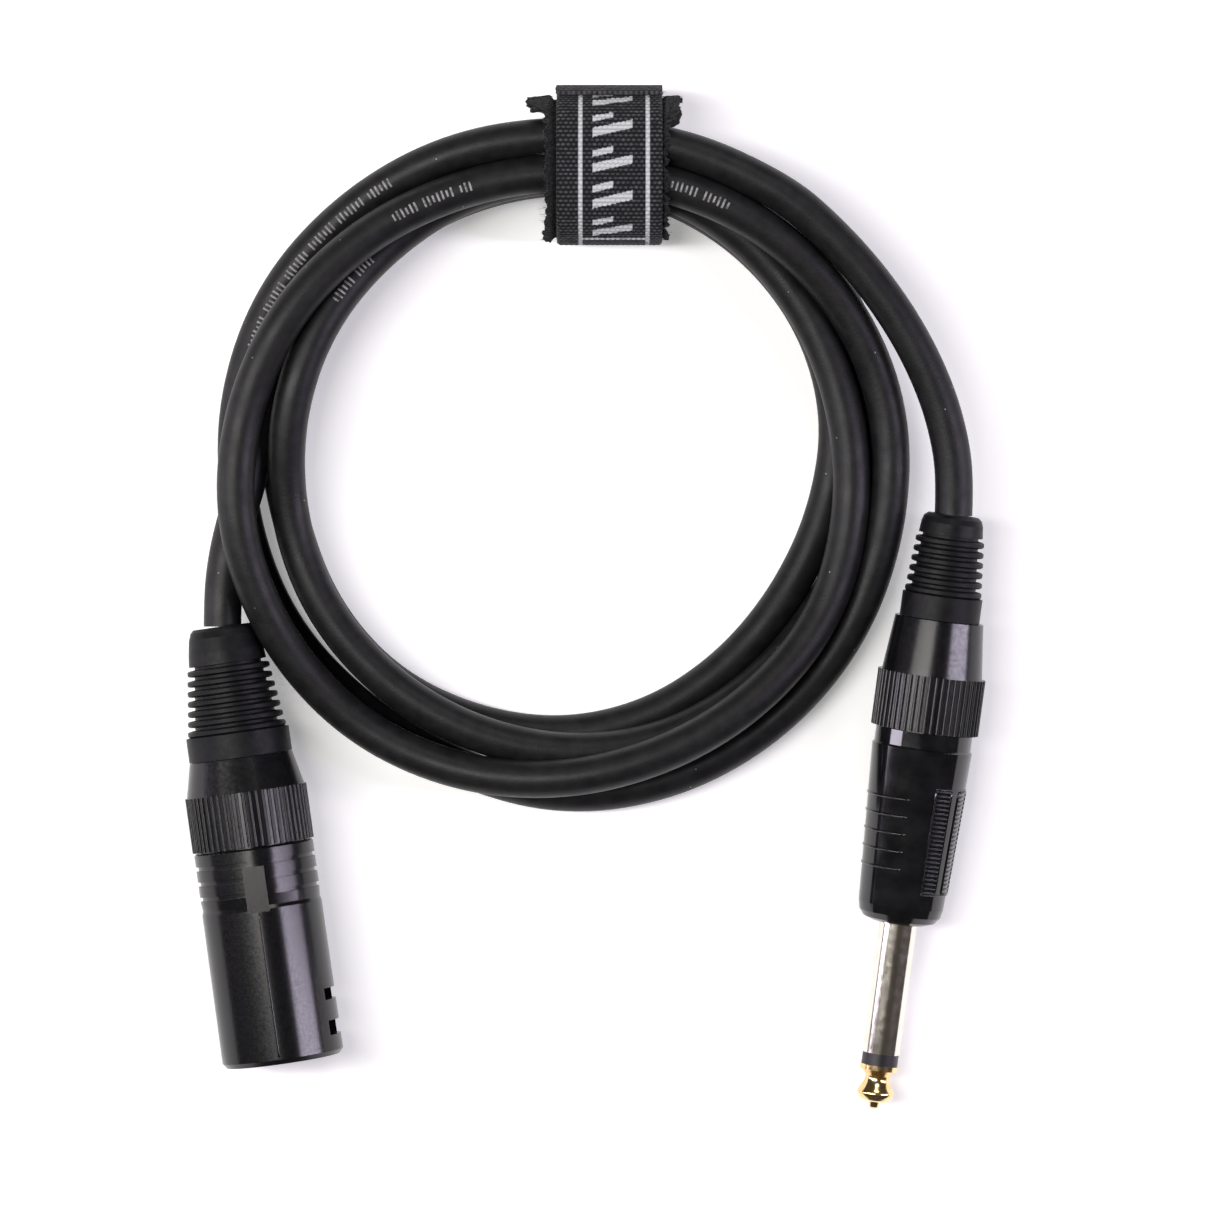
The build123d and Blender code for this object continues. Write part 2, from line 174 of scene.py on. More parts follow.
def add_node(tree, kind, **inputs):
    """A shader node with some of its inputs set: a name's underscores stand for spaces."""
    node = tree.nodes.new("ShaderNode" + kind)
    for name, value in inputs.items():
        node.inputs[name.replace("_", " ")].default_value = value
    return node


def grain(tree, shader, scale, strength, distance, detail=4.0):
    """Fine uneven surface, as a moulding or an extrusion has, on the shader's normal."""
    place = tree.nodes.new("ShaderNodeTexCoord")
    noise = add_node(tree, "TexNoise", Scale=scale, Detail=detail)
    bump = add_node(tree, "Bump", Strength=strength, Distance=distance)
    tree.links.new(place.outputs["Object"], noise.inputs["Vector"])
    tree.links.new(noise.outputs["Fac"], bump.inputs["Height"])
    tree.links.new(bump.outputs["Normal"], shader.inputs["Normal"])
    return place, noise, bump


def uneven(tree, socket, place, scale, low, high, detail=3.0):
    """Drives a shader input between two values with a soft noise."""
    noise = add_node(tree, "TexNoise", Scale=scale, Detail=detail)
    spread = add_node(tree, "MapRange", From_Min=0.3, From_Max=0.7, To_Min=low, To_Max=high)
    tree.links.new(place.outputs["Object"], noise.inputs["Vector"])
    tree.links.new(noise.outputs["Fac"], spread.inputs["Value"])
    tree.links.new(spread.outputs["Result"], socket)


def tinted(tree, shader, place, scale, first, second, low=0.35, high=0.65, detail=4.0):
    """Mixes two colours over the surface with a noise."""
    noise = add_node(tree, "TexNoise", Scale=scale, Detail=detail)
    ramp = tree.nodes.new("ShaderNodeValToRGB")
    ramp.color_ramp.elements[0].position = low
    ramp.color_ramp.elements[0].color = (*first, 1)
    ramp.color_ramp.elements[1].position = high
    ramp.color_ramp.elements[1].color = (*second, 1)
    tree.links.new(place.outputs["Object"], noise.inputs["Vector"])
    tree.links.new(noise.outputs["Fac"], ramp.inputs["Fac"])
    tree.links.new(ramp.outputs["Color"], shader.inputs["Base Color"])
    return ramp


jacket, tree, shader = new_material("cable_jacket_pvc", (0.008, 0.008, 0.009), roughness=0.46, specular=0.24)
place, _, _ = grain(tree, shader, scale=2600, strength=0.28, distance=0.00012)
uneven(tree, shader.inputs["Roughness"], place, scale=260, low=0.40, high=0.50)
mottle = tinted(tree, shader, place, 420, (0.0068, 0.0068, 0.0076), (0.0125, 0.0122, 0.0128))
# A few specks of dust
dust = add_node(tree, "TexVoronoi", Scale=210)
dust_edge = add_node(tree, "MapRange", From_Min=0.018, From_Max=0.032, To_Min=1.0, To_Max=0.0)
dust_mix = tree.nodes.new("ShaderNodeMix")
dust_mix.data_type = "RGBA"
dust_mix.inputs["B"].default_value = (0.3, 0.3, 0.3, 1)
tree.links.new(place.outputs["Object"], dust.inputs["Vector"])
tree.links.new(dust.outputs["Distance"], dust_edge.inputs["Value"])
tree.links.new(dust_edge.outputs["Result"], dust_mix.inputs["Factor"])
tree.links.new(mottle.outputs["Color"], dust_mix.inputs["A"])
tree.links.new(dust_mix.outputs["Result"], shader.inputs["Base Color"])
cable.data.materials.append(jacket)

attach(cable, "cable")
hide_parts("cable_coil", "cable_tail_xlr", "cable_tail_jack")

# ---------------------------------------------------------------- Marks on the jacket
# White ink is printed along the cable as it is made. Here it is rows of plain bars with gaps between them,
# each a thin film that bends round the top of the jacket.
bar_pitch = 0.0008
bar_width = 0.00034
bar_height = 0.0016
ink_lift = 0.00004
ink_thickness = 0.00005
# In every group of eight places one is left empty, and every third bar is shorter
group_places = 8
empty_place = 6
short_every = 3
short_share = 0.72
# Which turn of the coil each printed run is on, and the angles where it starts and ends
printed_runs = ((4, 288, 346), (3, 338, 356), (3, 380, 389), (3, 395, 406), (2, 315, 326))
line_object = bpy.data.objects.new("cable_line", cable_line)
line_points = [vertex.co.copy() for vertex in bpy.data.meshes.new_from_object(line_object).vertices]
bpy.data.objects.remove(line_object)
line_reach = [0.0]
for before, after in zip(line_points, line_points[1:]):
    line_reach.append(line_reach[-1] + (after - before).length)


def grid(name, columns, rows, shape):
    """A sheet of faces. The shape gives each vertex its place from how far across and along it is, 0 to 1."""
    bpy.ops.mesh.primitive_grid_add(x_subdivisions=columns, y_subdivisions=rows, size=1)
    piece = bpy.context.object
    piece.name = name
    for vertex in piece.data.vertices:
        vertex.co = shape(vertex.co.x + 0.5, vertex.co.y + 0.5)
    piece.data.shade_smooth()
    bpy.ops.object.select_all(action="DESELECT")
    return piece


def apply_modifier(piece, kind, **settings):
    """Adds a modifier to a piece and applies it."""
    modifier = piece.modifiers.new(kind.lower(), kind)
    for name, value in settings.items():
        setattr(modifier, name, value)
    bpy.context.view_layer.objects.active = piece
    bpy.ops.object.modifier_apply(modifier=modifier.name)


def join(pieces, name):
    """Makes one piece of several."""
    bpy.ops.object.select_all(action="DESELECT")
    for piece in pieces:
        piece.select_set(True)
    bpy.context.view_layer.objects.active = pieces[0]
    bpy.ops.object.join()
    pieces[0].name = name
    bpy.ops.object.select_all(action="DESELECT")
    return pieces[0]


def reach_of(turn, angle):
    """How far along the cable a turn of the coil passes an angle."""
    step = len(xlr_tail) + turn * len(turn_radii[0]) + (angle - first_angle) / angle_step
    return line_reach[round((step - 0.5) * cable_curve.resolution_u)]


def ink_bar(reach, height):
    """One bar of ink across the top of the cable."""
    index = next(number for number, value in enumerate(line_reach) if value >= reach)
    before, after = line_points[index - 1], line_points[index]
    share = (reach - line_reach[index - 1]) / (line_reach[index] - line_reach[index - 1])
    middle = before.lerp(after, share)
    along = (after - before).normalized()
    across = along.cross(Vector((0, 0, 1))).normalized()
    up = across.cross(along)

    def shape(width_share, height_share):
        swing = (height_share - 0.5) * height * 2 / cable_diameter
        out = across * -math.sin(swing) + up * math.cos(swing)
        return middle + along * (width_share - 0.5) * bar_width + out * (cable_diameter / 2 + ink_lift)

    return grid("ink_bar", columns=1, rows=6, shape=shape)


bars = []
for turn, start_angle, end_angle in printed_runs:
    start, end = reach_of(turn, start_angle), reach_of(turn, end_angle)
    for number in range(int((end - start) / bar_pitch)):
        if number % group_places != empty_place:
            height = bar_height * (1.0 if number % short_every else short_share)
            bars.append(ink_bar(start + number * bar_pitch, height))
ink_marks = join(bars, "ink_marks")
apply_modifier(ink_marks, "SOLIDIFY", thickness=ink_thickness, offset=-1)
ink, tree, shader = new_material("jacket_ink", (0.26, 0.26, 0.26), roughness=0.6, specular=0.3)
place, _, _ = grain(tree, shader, scale=5000, strength=0.3, distance=0.00005)
tinted(tree, shader, place, 1500, (0.10, 0.10, 0.10), (0.32, 0.32, 0.32), low=0.32, high=0.56)
ink_marks.data.materials.append(ink)
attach(ink_marks, "cable")

# ---------------------------------------------------------------- Strap, under layer
# The loop side of a hook-and-loop strap, dark and fuzzy, wound once round the bundle. It shows as a narrow
# rim beside the woven outer layer, with a corner that sticks out on each side where its end was cut.
strap_middle = (0.0037, 0.0707)
loop_half_width = 0.0114
loop_height = 0.0203
top_radius = 0.009
bottom_radius = 0.005
top_flat = loop_half_width - top_radius
top_arc = math.pi / 2 * top_radius
side_flat = loop_height - top_radius - bottom_radius
bottom_arc = math.pi / 2 * bottom_radius
band_end = top_flat + top_arc + side_flat
half_round = band_end + bottom_arc + loop_half_width - bottom_radius
end_gap = 0.0001
pile_left = -0.0067
pile_right = 0.0128
pile_thickness = 0.0006
# How high the fuzz stands above the winding on the whole, at least and at most
pile_out = -0.0004
pile_lowest = -0.0009
pile_highest = -0.0001
# Each cut corner: where along the winding it starts and ends, and how far it sticks out
left_corner = (0.0090, 0.0150, 0.0026)
right_corner = (0.0062, 0.0150, 0.0025)
corner_softness = 0.0006
# The rims outside the woven layer stand higher, from these two places across outwards
rim_starts = (-0.0052, 0.0126)
rim_softness = (0.0008, 0.0004)
rim_rise = 0.0008
floor_softness = 0.002
# How far the edges are frayed and the tufts stand up, and how close together
fray = 0.0004
tuft_heights = (0.00016, 0.00012)
coarse = 1500
fine = 3200
noise_slice = 3.7


def wound(x, along, out):
    """Place on the winding: along runs round it from the middle of its top, out is the height above it."""
    side = 1 if along >= 0 else -1
    run = abs(along)
    if run < top_flat:
        y, z, lean = run, loop_height, 0.0
    elif run < top_flat + top_arc:
        lean = (run - top_flat) / top_radius
        y = top_flat + top_radius * math.sin(lean)
        z = loop_height - top_radius + top_radius * math.cos(lean)
    elif run < band_end:
        y, z, lean = loop_half_width, loop_height - top_radius - (run - top_flat - top_arc), math.pi / 2
    elif run < band_end + bottom_arc:
        lean = math.pi / 2 + (run - band_end) / bottom_radius
        y = loop_half_width - bottom_radius + bottom_radius * math.sin(lean)
        z = bottom_radius + bottom_radius * math.cos(lean)
    else:
        y, z, lean = half_round - run, 0, math.pi
    return Vector((x, strap_middle[1] + side * (y + out * math.sin(lean)), z + out * math.cos(lean)))


def swell(value, start, end, soft):
    """Rises from 0 to 1 past the start and falls again before the end."""
    return max(0.0, min(1.0, (value - start) / soft, (end - value) / soft))


def ragged(x, along, scale):
    """Noise over the winding, about -1 to 1."""
    return 2 * noise_field.noise(Vector((x * scale, along * scale, noise_slice)))


def pile_place(across, length_share):
    """Place on the fuzzy layer's outer side, from how far across and along it is, 0 to 1."""
    along = (2 * length_share - 1) * (half_round - end_gap)
    left_out = left_corner[2] * swell(along, left_corner[0], left_corner[1], corner_softness)
    right_out = right_corner[2] * swell(along, right_corner[0], right_corner[1], corner_softness)
    left = pile_left - left_out + fray * ragged(0, along, coarse)
    right = pile_right + right_out + fray * ragged(1, along, coarse)
    x = left + (right - left) * across
    above_floor = swell(along, -band_end, band_end, floor_softness)
    left_rim = swell(x, -1, rim_starts[0], rim_softness[0])
    right_rim = swell(x, rim_starts[1], 1, rim_softness[1])
    tuft = tuft_heights[0] * ragged(x, along, coarse) + tuft_heights[1] * ragged(x, along, fine)
    out = min(max(pile_out + tuft, pile_lowest), pile_highest)
    return wound(x, along, out + rim_rise * (left_rim + right_rim) * above_floor)


pile = grid("strap_pile", columns=84, rows=290, shape=pile_place)
apply_modifier(pile, "WELD", merge_threshold=0.00012)
apply_modifier(pile, "SOLIDIFY", thickness=pile_thickness, offset=-1)
fuzz, tree, shader = new_material("strap_fuzz", (0.016, 0.016, 0.018), roughness=0.95, specular=0.12)
shader.inputs["Sheen Weight"].default_value = 0.12
shader.inputs["Sheen Roughness"].default_value = 0.5
place, _, _ = grain(tree, shader, scale=5200, strength=0.9, distance=0.0004, detail=6.0)
tinted(tree, shader, place, 3000, (0.003, 0.003, 0.0035), (0.026, 0.026, 0.029), low=0.38, high=0.74)
pile.data.materials.append(fuzz)
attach(pile, "cable")
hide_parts("strap_loop")

# ---------------------------------------------------------------- Strap, woven layer
# The outer side of the strap: nylon webbing woven in offset rows, printed with white ink: two lines
# along it, a line across and plain slanted bars between them. It is wrapped over the loop side.
band_left = -0.00495
band_right = 0.01235
band_half = band_end - end_gap
band_out = 0.00078
band_thickness = 0.0006
yarn_columns = 0.00085
yarn_rows = 0.00068
yarn_height = 0.00021
# How much slimmer a yarn is than its place in the weave, across and along
yarn_slimness = (1.95, 2.9)
side_softness = 0.0004
end_softness = 0.0005
edge_drop = 0.0002
# The print: two lines along the strap, one across, and blocks of a long slanted bar and a short one
white_lines = ((-0.00136, -0.00074), (0.00962, 0.01024))
cross_line = -0.0137
cross_line_width = 0.0007
block_sides = (0.0009, 0.0074)
block_pitch = 0.0056
last_block_end = 2.5 * block_pitch - 0.0004
bar_slant = 0.22
long_bar_width = 0.0014
short_bar_width = 0.0010
short_bar_end = 0.0042
short_bar_step = 0.0023


def yarn(x, along):
    """Height of the weave, 0 between the yarns and 1 on a crest."""
    row = math.floor(along / yarn_rows)
    sideways = (x / yarn_columns + 0.5 * (row % 2)) % 1 - 0.5
    lengthways = (along / yarn_rows) % 1 - 0.5
    return math.sqrt(max(0.0, 1 - (yarn_slimness[0] * sideways) ** 2 - (yarn_slimness[1] * lengthways) ** 2))


def white_yarn(x, along):
    """1 where the yarns are printed white."""
    if any(start <= x <= end for start, end in white_lines):
        return 1.0
    if white_lines[0][0] < x < white_lines[1][1] and abs(along - cross_line) < cross_line_width / 2:
        return 1.0
    if not block_sides[0] <= x <= block_sides[1] or abs(along) > last_block_end:
        return 0.0
    slant = bar_slant * (x - sum(block_sides) / 2)
    offset = (along + block_pitch / 2) % block_pitch - block_pitch / 2 - slant
    on_short_bar = x < short_bar_end and abs(offset - short_bar_step) < short_bar_width / 2
    return 1.0 if abs(offset) < long_bar_width / 2 or on_short_bar else 0.0


def band_place(across, length_share):
    """Place on the woven layer's outer side, from how far across and along it is, 0 to 1."""
    along = (2 * length_share - 1) * band_half
    x = band_left + (band_right - band_left) * across
    off_sides = swell(x, band_left, band_right, side_softness)
    inside = off_sides * swell(along, -band_half, band_half, end_softness)
    return wound(x, along, band_out + yarn_height * yarn(x, along) * inside - edge_drop * (1 - inside))


def mark_yarns(piece, left, right, first, last, white):
    """Stores how high each yarn stands, for the material's painted shade, and where it is white."""
    crest = piece.data.attributes.new("crest", "FLOAT", "POINT")
    ink_yarn = piece.data.attributes.new("white", "FLOAT", "POINT")
    texture = piece.data.uv_layers.active.data
    for loop in piece.data.loops:
        across, share = texture[loop.index].uv
        x, along = left + (right - left) * across, first + (last - first) * share
        crest.data[loop.vertex_index].value = yarn(x, along)
        ink_yarn.data[loop.vertex_index].value = white_yarn(x, along) if white else 0.0


band = grid("strap_weave", columns=104, rows=280, shape=band_place)
mark_yarns(band, band_left, band_right, -band_half, band_half, True)
apply_modifier(band, "SOLIDIFY", thickness=band_thickness, offset=-1)

webbing, tree, shader = new_material("strap_webbing", (0.03, 0.03, 0.033), roughness=0.8, specular=0.2)
shader.inputs["Sheen Weight"].default_value = 0.08
place, _, _ = grain(tree, shader, scale=6500, strength=0.7, distance=0.00015, detail=6.0)
# Painted shade: colour darkens into the hollows between the yarns and lightens on their crests.
thread = tree.nodes.new("ShaderNodeAttribute")
thread.attribute_name = "crest"
white = tree.nodes.new("ShaderNodeAttribute")
white.attribute_name = "white"
crest_noise = add_node(tree, "TexNoise", Scale=900.0, Detail=6.0)
lift = add_node(tree, "Math", Value=0.5)
lift.operation = "MULTIPLY"
dark_yarn_shading = tree.nodes.new("ShaderNodeValToRGB")
dark_yarn_shading.color_ramp.elements[0].position = 0.15
dark_yarn_shading.color_ramp.elements[0].color = (0.005, 0.005, 0.006, 1)
dark_yarn_shading.color_ramp.elements[1].position = 0.6
dark_yarn_shading.color_ramp.elements[1].color = (0.095, 0.095, 0.102, 1)
white_yarn_shading = tree.nodes.new("ShaderNodeValToRGB")
white_yarn_shading.color_ramp.elements[0].position = 0.05
white_yarn_shading.color_ramp.elements[0].color = (0.40, 0.41, 0.42, 1)
white_yarn_shading.color_ramp.elements[1].position = 0.5
white_yarn_shading.color_ramp.elements[1].color = (0.60, 0.62, 0.63, 1)
yarn_mix = tree.nodes.new("ShaderNodeMix")
yarn_mix.data_type = "RGBA"
tree.links.new(place.outputs["Object"], crest_noise.inputs["Vector"])
tree.links.new(thread.outputs["Fac"], lift.inputs[0])
tree.links.new(crest_noise.outputs["Fac"], lift.inputs[1])
tree.links.new(lift.outputs["Value"], dark_yarn_shading.inputs["Fac"])
tree.links.new(thread.outputs["Fac"], white_yarn_shading.inputs["Fac"])
tree.links.new(white.outputs["Fac"], yarn_mix.inputs["Factor"])
tree.links.new(dark_yarn_shading.outputs["Color"], yarn_mix.inputs["A"])
tree.links.new(white_yarn_shading.outputs["Color"], yarn_mix.inputs["B"])
tree.links.new(yarn_mix.outputs["Result"], shader.inputs["Base Color"])
band.data.materials.append(webbing)
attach(band, "cable")
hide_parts("strap_band")

# ---------------------------------------------------------------- Strap, free end
# The last piece of the webbing hangs down the outer side. Its top stays with the winding and the rest peels
# away, bending at the fold.
flap_left = band_left
flap_right = band_right
flap_top = 0.0166
flap_bottom = 0.0036
flap_radius = 0.0109
flap_corner = 0.003
flap_weave = 0.00019
flap_lift = 0.00012
weave_start = 0.0004
shoulder = (strap_middle[1] + top_flat, loop_height - top_radius)


def flap_place(across, length_share):
    """Place on the free end's outer side, from how far across and down it is, 0 to 1."""
    z = flap_top + (flap_bottom - flap_top) * length_share
    above = max(0.0, z - shoulder[1])
    y = shoulder[0] + math.sqrt(flap_radius ** 2 - above ** 2)
    corner = max(0.0, flap_bottom + flap_corner - z)
    inset = flap_corner - math.sqrt(max(0.0, flap_corner ** 2 - corner ** 2))
    x = flap_left + inset + (flap_right - flap_left - 2 * inset) * across
    run = flap_top - z + weave_start
    return Vector((x, y + flap_weave * yarn(x, run) + flap_lift, z))


flap = grid("strap_free_end", columns=104, rows=78, shape=flap_place)
mark_yarns(flap, flap_left, flap_right, weave_start, flap_top - flap_bottom + weave_start, False)
apply_modifier(flap, "SOLIDIFY", thickness=band_thickness, offset=-1)
flap.data.materials.append(webbing)
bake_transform(flap)
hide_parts("strap_flap")

# ---------------------------------------------------------------- Strap, loose fibres
# Fine nylon hairs pulled out of the loop side by the hooks, along both edges and the rims of the winding.
hair_radius = 0.000028
hair_points = 4
hair_out = 0.0002
hair_curl = 0.6
hair_rise = 0.45
hair_droop = 0.7
left_rim_hairs = 260
right_rim_hairs = 150
woven_end_hairs = 320
corner_hairs = 90
rim_half = 0.018
hair_seed = 11
dice = random.Random(hair_seed)
hairs = bpy.data.curves.new("strap_fibres", "CURVE")
hairs.dimensions = "3D"
hairs.bevel_depth = hair_radius
hairs.bevel_resolution = 0
hairs.resolution_u = 2


def add_hair(x, along, out, length, sideways):
    """One curved hair from a place on the winding, leaning sideways."""
    strand = hairs.splines.new("POLY")
    strand.points.add(hair_points - 1)
    curl = dice.uniform(-hair_curl, hair_curl)
    for number, point in enumerate(strand.points):
        share = number / (hair_points - 1)
        step = length * share
        spot = wound(x + sideways * step + curl * step * share * 0.5, along + curl * step * (1 - share),
                     out + hair_rise * step * (1 - hair_droop * share))
        point.co = (*spot, 1)


# Along the left rim, then along the right rim
for _ in range(left_rim_hairs):
    add_hair(x=pile_left + dice.uniform(-0.0001, 0.0012), along=dice.uniform(-rim_half, rim_half),
             out=hair_out, length=dice.uniform(0.0006, 0.0016), sideways=dice.uniform(-0.9, 0.2))
for _ in range(right_rim_hairs):
    add_hair(x=pile_right + dice.uniform(-0.0006, 0.0002), along=dice.uniform(-rim_half, rim_half),
             out=hair_out, length=dice.uniform(0.0006, 0.0015), sideways=dice.uniform(-0.2, 0.9))
# Across the woven layer, towards both of its ends
for _ in range(woven_end_hairs):
    side = dice.choice((-1, 1))
    add_hair(x=dice.uniform(band_left, band_right), along=side * dice.uniform(0.0125, 0.0175),
             out=band_out + 0.0001, length=dice.uniform(0.0005, 0.0013), sideways=dice.uniform(-0.6, 0.6))
# On the two cut corners
for _ in range(corner_hairs):
    add_hair(x=dice.choice((dice.uniform(-0.0092, -0.0066), dice.uniform(0.0130, 0.0152))),
             along=dice.uniform(0.0088, 0.0146), out=hair_out, length=dice.uniform(0.0005, 0.0012),
             sideways=dice.uniform(-0.8, 0.8))
fibres = bpy.data.objects.new("strap_fibres", hairs)
bpy.context.scene.collection.objects.link(fibres)
hair, tree, shader = new_material("fibre_nylon", (0.035, 0.035, 0.038), roughness=0.6, specular=0.3)
place, _, _ = grain(tree, shader, scale=3000, strength=0.1, distance=0.00002)
tinted(tree, shader, place, 800, (0.018, 0.018, 0.020), (0.075, 0.075, 0.082))
fibres.data.materials.append(hair)
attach(fibres, "cable")

# ---------------------------------------------------------------- Boots
# Soft rubber strain reliefs on both plugs, moulded with ribs so that they bend with the cable.


def dress(finish, *names):
    """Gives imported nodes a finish."""
    for name in names:
        for slot in nodes[name].material_slots:
            slot.material = finish


rubber, tree, shader = new_material("boot_rubber", (0.005, 0.005, 0.006), roughness=0.44, specular=0.14)
place, _, _ = grain(tree, shader, scale=3800, strength=0.35, distance=0.00006)
uneven(tree, shader.inputs["Roughness"], place, scale=900, low=0.40, high=0.50)
tinted(tree, shader, place, 500, (0.0045, 0.0045, 0.0055), (0.009, 0.0088, 0.0095))
dress(rubber, "xlr_boot", "jack_boot")

# ---------------------------------------------------------------- Nuts and collets
# Hard black plastic nuts with a smooth cone and a knurled grip, and the paler nylon collets that they
# squeeze on to the cable.
nut_plastic, tree, shader = new_material("nut_plastic", (0.004, 0.004, 0.005), roughness=0.22, specular=0.36)
place, _, _ = grain(tree, shader, scale=1500, strength=0.06, distance=0.00003)
uneven(tree, shader.inputs["Roughness"], place, scale=1500, low=0.19, high=0.26)
tinted(tree, shader, place, 350, (0.003, 0.003, 0.004), (0.006, 0.0058, 0.0066))
dress(nut_plastic, "xlr_nut", "jack_nut")

collet_nylon, tree, shader = new_material("collet_nylon", (0.05, 0.05, 0.055), roughness=0.5, specular=0.4)
place, _, _ = grain(tree, shader, scale=1800, strength=0.15, distance=0.00005)
tinted(tree, shader, place, 500, (0.035, 0.035, 0.04), (0.06, 0.06, 0.066))
dress(collet_nylon, "xlr_chuck", "jack_chuck")

# ---------------------------------------------------------------- XLR shell
# Zinc die-cast shell with satin black paint that has a slight orange peel. The mould's parting line
# is left as a fine ridge along its top.
xlr_forward = (0.139173, -0.990268, 0.0)
shell_skin = ((46.6, 9.9), (71.2, 10.0))
seam_run = (47.0, 71.0)
# The ridge's width and height, and how ridges are shaped and meshed, in millimetres
seam_size = (0.34, 0.12)
ridge_roundness = 2.5
fewest_rows = 8
row_length = 0.7
ridge_root = 0.03
end_taper = 1.5
# In metres
ridge_wall = 0.00008


def plug_axes(exit_place, forward):
    """A plug's own directions: where its boot ends, towards its tip, to its right and up."""
    forward = Vector(forward).normalized()
    right = Vector((-forward.y, forward.x, 0)).normalized()
    return Vector(exit_place), forward, right, forward.cross(right)


def skin_radius(skin, distance):
    """Radius of a plug's skin, in millimetres, from its outline."""
    for (start, first), (end, last) in zip(skin, skin[1:]):
        if distance <= end:
            return first + (last - first) * (distance - start) / (end - start)
    return skin[-1][1]


def ridge(axes, skin, first, last, width, height):
    """Low rounded ridge on a plug's skin between two places, each a distance in millimetres and an angle."""
    start, forward, right, up = axes
    radius = skin_radius(skin, (first[0] + last[0]) / 2)
    run = last[0] - first[0]
    swing = math.radians(last[1] - first[1]) * radius
    length = math.hypot(run, swing)

    def shape(across, share):
        off = (across - 0.5) * width
        distance = first[0] + run * share + off * swing / length
        angle = math.radians(first[1]) + (swing * share - off * run / length) / radius
        taper = min(1, end_taper * share * length / width, end_taper * (1 - share) * length / width)
        rise = height * (1 - abs(2 * across - 1) ** ridge_roundness) * taper
        reach = (skin_radius(skin, distance) + rise - ridge_root) / 1000
        return start + forward * distance / 1000 + (right * math.sin(angle) + up * math.cos(angle)) * reach

    return grid("ridge", columns=6, rows=max(fewest_rows, round(length / row_length)), shape=shape)


xlr_axes = plug_axes(xlr_exit, xlr_forward)
seam = join([ridge(xlr_axes, shell_skin, (seam_run[0], 0.0), (seam_run[1], 0.0), *seam_size)], "xlr_seam")
apply_modifier(seam, "SOLIDIFY", thickness=ridge_wall, offset=-1)
shell_paint, tree, shader = new_material("shell_paint", (0.004, 0.004, 0.005), roughness=0.21, specular=0.36)
place, _, _ = grain(tree, shader, scale=2400, strength=0.07, distance=0.00002, detail=2.0)
uneven(tree, shader.inputs["Roughness"], place, scale=2200, low=0.18, high=0.24)
tinted(tree, shader, place, 1800, (0.003, 0.003, 0.004), (0.006, 0.0058, 0.0065))
seam.data.materials.append(shell_paint)
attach(seam, "xlr_housing")
dress(shell_paint, "xlr_shell")

# ---------------------------------------------------------------- XLR insert, contacts and cores
# A black moulded insert holds three plated brass contacts. The cable's cores are soldered to their cups,
# and a sprung steel strip earths the shell.
insert_plastic, tree, shader = new_material("insert_plastic", (0.013, 0.013, 0.014),
                                            roughness=0.4, specular=0.45)
place, _, _ = grain(tree, shader, scale=2000, strength=0.2, distance=0.00005)
tinted(tree, shader, place, 600, (0.010, 0.010, 0.011), (0.016, 0.016, 0.017))
dress(insert_plastic, "xlr_insert", "jack_insulating_tube", "jack_insulating_ring")

plating, tree, shader = new_material("contact_plating", (0.72, 0.69, 0.64),
                                     roughness=0.22, specular=0.5, metallic=1.0)
place, _, _ = grain(tree, shader, scale=2600, strength=0.1, distance=0.00003)
tinted(tree, shader, place, 900, (0.66, 0.63, 0.57), (0.78, 0.75, 0.70))
dress(plating, "xlr_pin_1", "xlr_pin_2", "xlr_pin_3", "jack_tip_lug")

spring_steel, tree, shader = new_material("spring_steel", (0.55, 0.55, 0.56),
                                          roughness=0.32, specular=0.5, metallic=1.0)
place, _, _ = grain(tree, shader, scale=1800, strength=0.15, distance=0.00003)
tinted(tree, shader, place, 700, (0.48, 0.48, 0.49), (0.62, 0.62, 0.63))
dress(spring_steel, "xlr_earth_spring", "jack_earth_clamp")

for colour_name, colour, worn_colour, members in (
        ("core_screen", (0.55, 0.30, 0.16), (0.42, 0.22, 0.11), ("xlr_core_1", "jack_drain")),
        ("core_red", (0.42, 0.02, 0.02), (0.33, 0.015, 0.015), ("xlr_core_2", "jack_core")),
        ("core_white", (0.75, 0.74, 0.70), (0.66, 0.65, 0.60), ("xlr_core_3",))):
    core, tree, shader = new_material(colour_name, colour, roughness=0.45)
    place, _, _ = grain(tree, shader, scale=1500, strength=0.15, distance=0.00004)
    tinted(tree, shader, place, 800, worn_colour, colour)
    dress(core, *members)
dress(jacket, "xlr_jacket_end", "jack_jacket_end")

# ---------------------------------------------------------------- Jack barrel
# Glossy black barrel moulded in hard plastic. Five fine lines run round its left side, and its right side
# has a grip of two columns of small ribs between rails.
jack_forward = (-0.130268, -0.989489, -0.062791)
barrel_skin = ((38.6, 8.3), (45.0, 8.0), (52.0, 7.65), (64.8, 7.05), (66.2, 6.75))
ring_lines = (46.9, 49.8, 52.7, 55.6, 58.5)
ring_angles = (-150, -9)
grip_run = (44.6, 62.2)
grip_columns = ((21, 44), (57, 90))
grip_ribs = 24
# Width and height of each kind of ridge, in millimetres
ring_size = (0.5, 0.22)
rib_size = (0.38, 0.3)
rail_size = (0.4, 0.26)
grip_end_size = (0.4, 0.2)

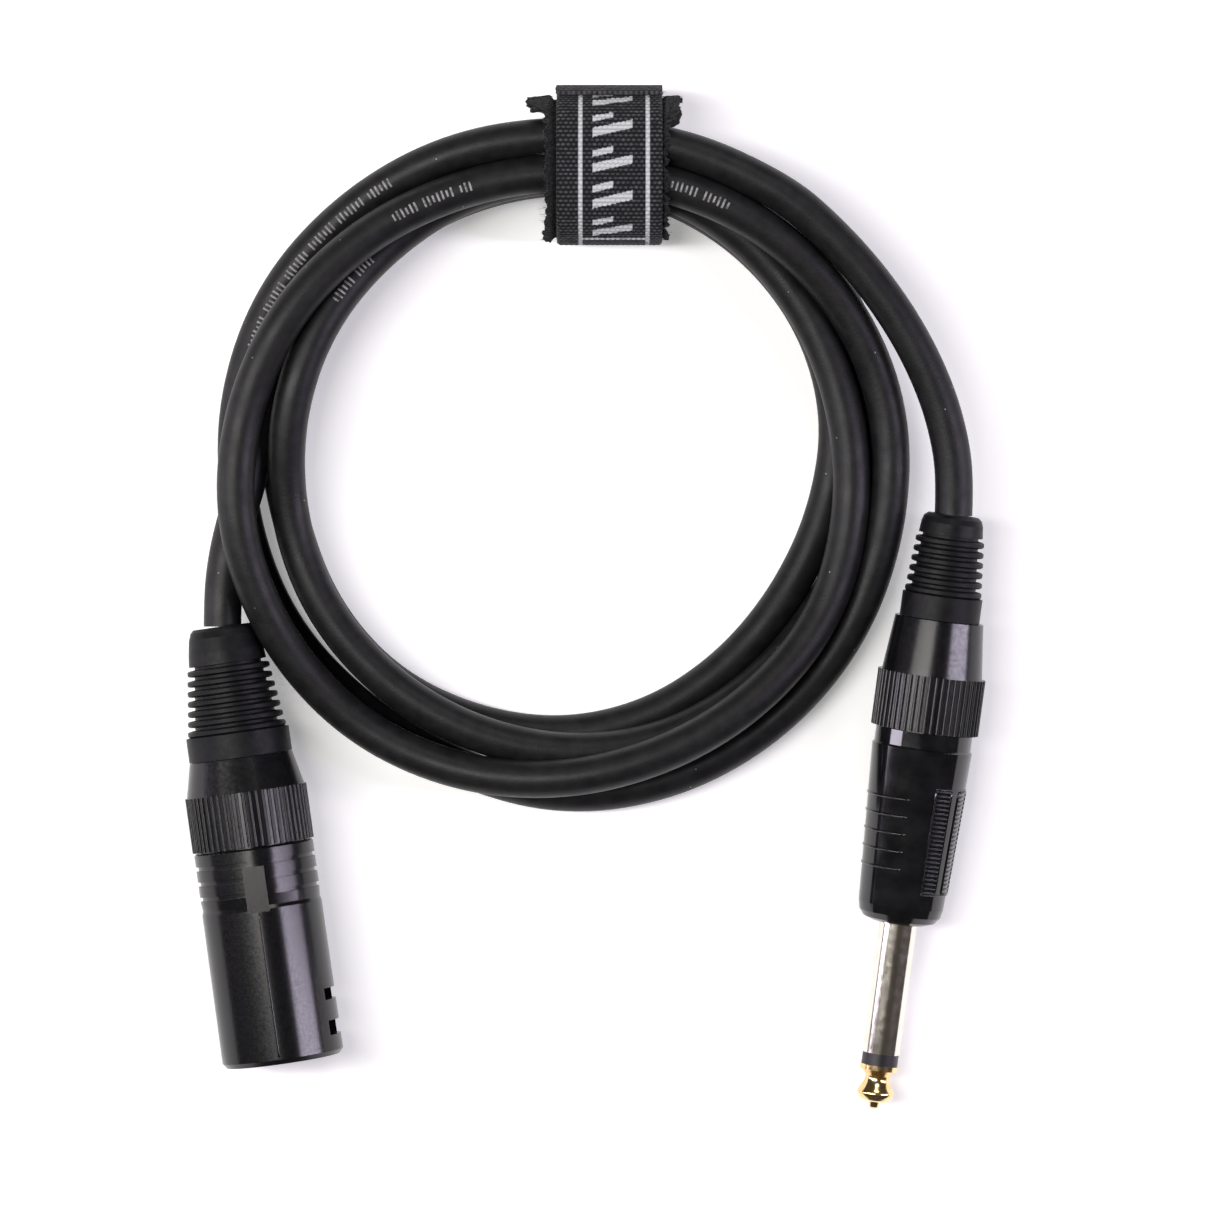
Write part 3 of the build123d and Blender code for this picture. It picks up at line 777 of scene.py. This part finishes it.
jack_axes = plug_axes(jack_exit, jack_forward)
raised = [ridge(jack_axes, barrel_skin, (line, ring_angles[0]), (line, ring_angles[1]), *ring_size)
          for line in ring_lines]
for column in grip_columns:
    for number in range(grip_ribs):
        line = grip_run[0] + (grip_run[1] - grip_run[0]) * (number + 0.5) / grip_ribs
        raised.append(ridge(jack_axes, barrel_skin, (line, column[0]), (line, column[1]), *rib_size))
    for rail in column:
        raised.append(ridge(jack_axes, barrel_skin, (grip_run[0], rail), (grip_run[1], rail), *rail_size))
for line in grip_run:
    raised.append(ridge(jack_axes, barrel_skin, (line, grip_columns[0][0] - 1),
                        (line, grip_columns[1][1] + 1), *grip_end_size))
barrel_lines = join(raised, "jack_barrel_lines")
apply_modifier(barrel_lines, "SOLIDIFY", thickness=ridge_wall, offset=-1)
barrel_gloss, tree, shader = new_material("barrel_gloss", (0.006, 0.006, 0.007),
                                          roughness=0.10, specular=0.55)
place, _, _ = grain(tree, shader, scale=500, strength=0.02, distance=0.00001, detail=1.0)
uneven(tree, shader.inputs["Roughness"], place, scale=300, low=0.07, high=0.12)
tinted(tree, shader, place, 300, (0.004, 0.004, 0.005), (0.009, 0.009, 0.010))
barrel_lines.data.materials.append(barrel_gloss)
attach(barrel_lines, "jack_housing")
dress(barrel_gloss, "jack_barrel")

# ---------------------------------------------------------------- Jack sleeve and tip
# Turned brass, nickel-plated on the sleeve and gold-plated on the tip, polished with faint turning marks.
nickel, tree, shader = new_material("sleeve_nickel", (0.84, 0.79, 0.71),
                                    roughness=0.14, specular=0.5, metallic=1.0)
place, _, _ = grain(tree, shader, scale=900, strength=0.02, distance=0.000006, detail=1.0)
uneven(tree, shader.inputs["Roughness"], place, scale=900, low=0.12, high=0.17)
tinted(tree, shader, place, 500, (0.80, 0.75, 0.66), (0.86, 0.82, 0.75))
dress(nickel, "jack_sleeve", "jack_collar")

gold, tree, shader = new_material("tip_gold", (0.92, 0.68, 0.34), roughness=0.14, specular=0.5, metallic=1.0)
place, _, _ = grain(tree, shader, scale=1200, strength=0.02, distance=0.000008, detail=1.0)
uneven(tree, shader.inputs["Roughness"], place, scale=900, low=0.10, high=0.22)
tinted(tree, shader, place, 600, (0.86, 0.60, 0.28), (0.95, 0.73, 0.40))
dress(gold, "jack_tip")

brass, tree, shader = new_material("rod_brass", (0.78, 0.58, 0.28),
                                   roughness=0.25, specular=0.5, metallic=1.0)
place, _, _ = grain(tree, shader, scale=1500, strength=0.1, distance=0.00003)
tinted(tree, shader, place, 700, (0.70, 0.50, 0.22), (0.82, 0.62, 0.33))
dress(brass, "jack_centre_rod")
